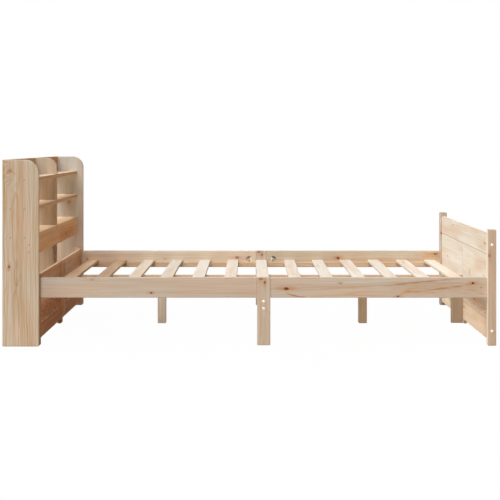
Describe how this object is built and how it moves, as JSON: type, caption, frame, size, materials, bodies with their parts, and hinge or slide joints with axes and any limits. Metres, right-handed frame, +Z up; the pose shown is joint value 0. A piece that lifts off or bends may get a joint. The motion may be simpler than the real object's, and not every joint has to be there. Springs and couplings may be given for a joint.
{
  "type": "bed frame",
  "caption": "Solid pine double bed frame with a shelved bookcase headboard, a low panelled footboard, split side rails on middle legs, a centre beam and flat slats.",
  "frame": {"origin": "on the floor at the centre of the bed's outline", "axes": "+X from the bookcase headboard to the footboard, +Y to the right as seen from the foot, +Z up"},
  "size_m": [2.218, 1.53, 0.837],
  "materials": {
    "pine": "planed and sanded solid pine, unfinished",
    "steel": "zinc plated, satin"
  },
  "bodies": {
    "root": {"back_board_lower": "pine", "back_board_upper": "pine", "barrel_nuts": "steel", "beam_cleat": "pine", "bookcase_divider": "pine", "bookcase_side_left": "pine", "bookcase_side_right": "pine", "bottom_shelf_left": "pine", "bottom_shelf_right": "pine", "centre_beam_foot": "pine", "centre_beam_head": "pine", "centre_leg_foot": "pine", "centre_leg_head": "pine", "connector_bolts": "steel", "cross_beam": "pine", "end_leg": "pine", "foot_bottom_board": "pine", "foot_centre_foot": "pine", "foot_panel_left": "pine", "foot_panel_right": "pine", "foot_post_left": "pine", "foot_post_right": "pine", "foot_top_board": "pine", "head_bottom_board": "pine", "head_centre_foot": "pine", "head_panel_left": "pine", "head_panel_right": "pine", "head_post_left": "pine", "head_post_right": "pine", "joint_studs": "steel", "ledger_left_foot": "pine", "ledger_left_head": "pine", "ledger_right_foot": "pine", "ledger_right_head": "pine", "middle_leg_left": "pine", "middle_leg_right": "pine", "middle_shelf_left": "pine", "middle_shelf_right": "pine", "rail_left_foot": "pine", "rail_left_head": "pine", "rail_right_foot": "pine", "rail_right_head": "pine", "shelf_apron": "pine", "shelf_screws": "steel", "slat_01": "pine", "slat_02": "pine", "slat_03": "pine", "slat_04": "pine", "slat_05": "pine", "slat_06": "pine", "slat_07": "pine", "slat_08": "pine", "slat_09": "pine", "slat_10": "pine", "slat_11": "pine", "slat_12": "pine", "slat_13": "pine", "stud_nuts": "steel", "top_shelf_left": "pine", "top_shelf_right": "pine"}
  },
  "joints": []
}
